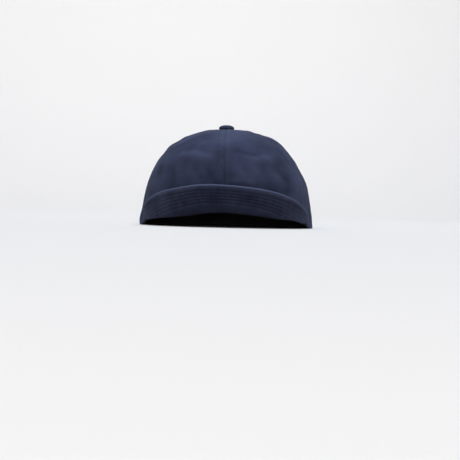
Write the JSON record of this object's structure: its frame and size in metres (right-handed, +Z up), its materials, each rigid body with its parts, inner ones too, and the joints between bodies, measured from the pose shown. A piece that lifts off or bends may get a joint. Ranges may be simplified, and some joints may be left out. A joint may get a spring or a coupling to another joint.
{
  "type": "soft six-panel cap with a turned-up brim",
  "caption": "Soft cotton cap with a domed, panelled crown, a covered top button, a dark sweatband and a short stitched brim turned up in front.",
  "frame": {"origin": "bottom centre of the whole cap's box, on the plane that the hem rests on", "axes": "+Z up through the crown, -Y to the front where the brim is, +X to the right seen from the front"},
  "size_m": [0.1824, 0.2188, 0.1069],
  "materials": {
    "crown_cloth": "matte washed cotton twill",
    "brim_cloth": "matte cotton twill with stitch rows",
    "band_cloth": "matte near-black cotton",
    "button_cloth": "matte cotton twill"
  },
  "bodies": {
    "root": {"crown_panel_front_left": "crown_cloth", "crown_panel_front_right": "crown_cloth", "crown_panel_side_left": "crown_cloth", "crown_panel_side_right": "crown_cloth", "crown_panel_back_left": "crown_cloth", "crown_panel_back_right": "crown_cloth", "brim": "brim_cloth", "sweatband": "band_cloth", "top_button": "button_cloth"}
  },
  "joints": []
}
